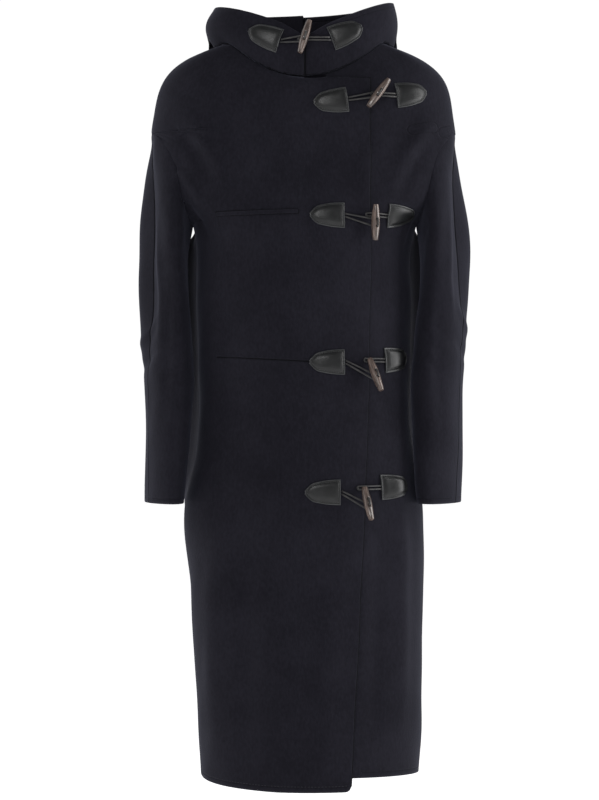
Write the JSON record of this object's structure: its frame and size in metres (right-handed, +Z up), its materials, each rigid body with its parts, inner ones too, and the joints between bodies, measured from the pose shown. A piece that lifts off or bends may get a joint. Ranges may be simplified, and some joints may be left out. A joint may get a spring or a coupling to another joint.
{
  "type": "duffle coat",
  "caption": "Long wool duffle coat in its worn, hollow form, with a laid-back hood and toggle fastenings on cords and padded leather tabs.",
  "frame": {"origin": "shoulder level in the middle of the neck, where the wearer's shoulders hold the coat up", "axes": "+Z up, -Y out of the front, +X towards the wearer's left side"},
  "size_m": [0.5311, 0.3497, 1.2461],
  "materials": {
    "wool": "dark navy double-faced wool, soft nap",
    "leather": "black padded leather, soft gloss",
    "horn": "brown horn, polished, streaked"
  },
  "bodies": {
    "root": {"front_right": "wool", "front_left": "wool", "back": "wool", "sleeve_right_front": "wool", "sleeve_right_back": "wool", "sleeve_left_front": "wool", "sleeve_left_back": "wool", "hood_right": "wool", "hood_left": "wool", "chest_welt": "wool", "tab_right_1": "leather", "tab_left_1": "leather", "toggle_1": "horn", "cord_1": "leather", "loop_1": "leather", "tab_right_2": "leather", "tab_left_2": "leather", "toggle_2": "horn", "cord_2": "leather", "loop_2": "leather", "tab_right_3": "leather", "tab_left_3": "leather", "toggle_3": "horn", "cord_3": "leather", "loop_3": "leather", "tab_right_4": "leather", "tab_left_4": "leather", "toggle_4": "horn", "cord_4": "leather", "loop_4": "leather", "tab_right_5": "leather", "tab_left_5": "leather", "toggle_5": "horn", "cord_5": "leather", "loop_5": "leather"}
  },
  "joints": []
}
